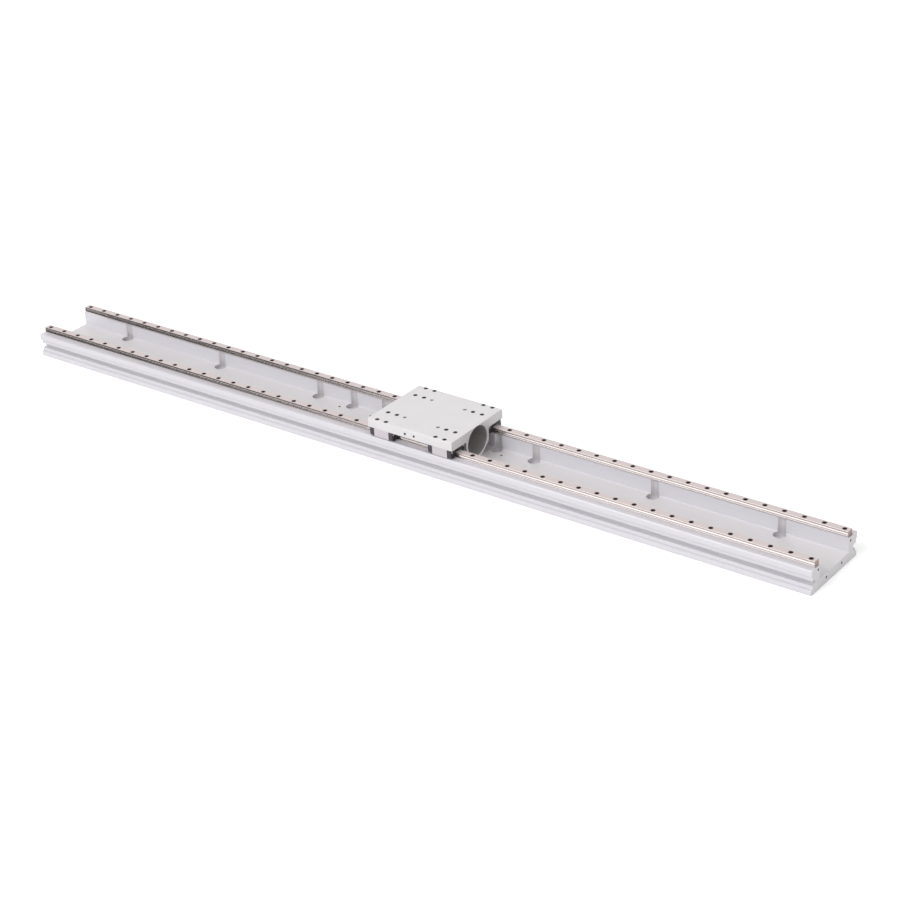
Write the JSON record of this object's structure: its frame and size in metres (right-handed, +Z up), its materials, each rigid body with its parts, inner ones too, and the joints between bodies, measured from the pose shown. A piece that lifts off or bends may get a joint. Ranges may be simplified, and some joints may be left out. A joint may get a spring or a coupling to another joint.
{
  "type": "linear slide",
  "caption": "Long linear slide: a U-shaped aluminium base with two profiled rails, and a bored carriage that runs along them on recirculating ball blocks.",
  "frame": {"origin": "middle of the base's underside", "axes": "+X along the rails, +Z up from the table that the base is bolted to"},
  "size_m": [2.8, 0.25, 0.132],
  "materials": {
    "base_aluminium": "clear anodised, fine lengthwise grain",
    "carriage_aluminium": "clear anodised, satin",
    "rail_steel": "ground",
    "block_steel": "ground",
    "ball_steel": "polished",
    "black_screw_steel": "black oxide",
    "bright_screw_steel": "zinc plated",
    "end_cap_plastic": "moulded",
    "seal_rubber": "smooth"
  },
  "bodies": {
    "base": {"base_extrusion": "base_aluminium", "rail_front": "rail_steel", "rail_rear": "rail_steel", "rail_screws_front": "black_screw_steel", "rail_screws_rear": "black_screw_steel"},
    "carriage": {"carriage_plate": "carriage_aluminium", "block_body_front_left": "block_steel", "block_body_front_right": "block_steel", "block_body_rear_left": "block_steel", "block_body_rear_right": "block_steel", "ball_rows_front_left": "ball_steel", "ball_rows_front_right": "ball_steel", "ball_rows_rear_left": "ball_steel", "ball_rows_rear_right": "ball_steel", "bottom_seals_front_left": "seal_rubber", "bottom_seals_front_right": "seal_rubber", "bottom_seals_rear_left": "seal_rubber", "bottom_seals_rear_right": "seal_rubber", "block_screws_front_left": "black_screw_steel", "block_screws_front_right": "black_screw_steel", "block_screws_rear_left": "black_screw_steel", "block_screws_rear_right": "black_screw_steel", "seal_screws_front_left": "bright_screw_steel", "seal_screws_front_right": "bright_screw_steel", "seal_screws_rear_left": "bright_screw_steel", "seal_screws_rear_right": "bright_screw_steel", "end_cap_front_left_left_end": "end_cap_plastic", "end_cap_front_left_right_end": "end_cap_plastic", "end_cap_front_right_left_end": "end_cap_plastic", "end_cap_front_right_right_end": "end_cap_plastic", "end_cap_rear_left_left_end": "end_cap_plastic", "end_cap_rear_left_right_end": "end_cap_plastic", "end_cap_rear_right_left_end": "end_cap_plastic", "end_cap_rear_right_right_end": "end_cap_plastic", "end_seal_front_left_left_end": "seal_rubber", "end_seal_front_left_right_end": "seal_rubber", "end_seal_front_right_left_end": "seal_rubber", "end_seal_front_right_right_end": "seal_rubber", "end_seal_rear_left_left_end": "seal_rubber", "end_seal_rear_left_right_end": "seal_rubber", "end_seal_rear_right_left_end": "seal_rubber", "end_seal_rear_right_right_end": "seal_rubber"}
  },
  "joints": [
    {"name": "carriage_slide", "type": "slide", "parent": "base", "child": "carriage", "axis": [1, 0, 0], "range_m": [-1.3463, 1.1443]}
  ]
}
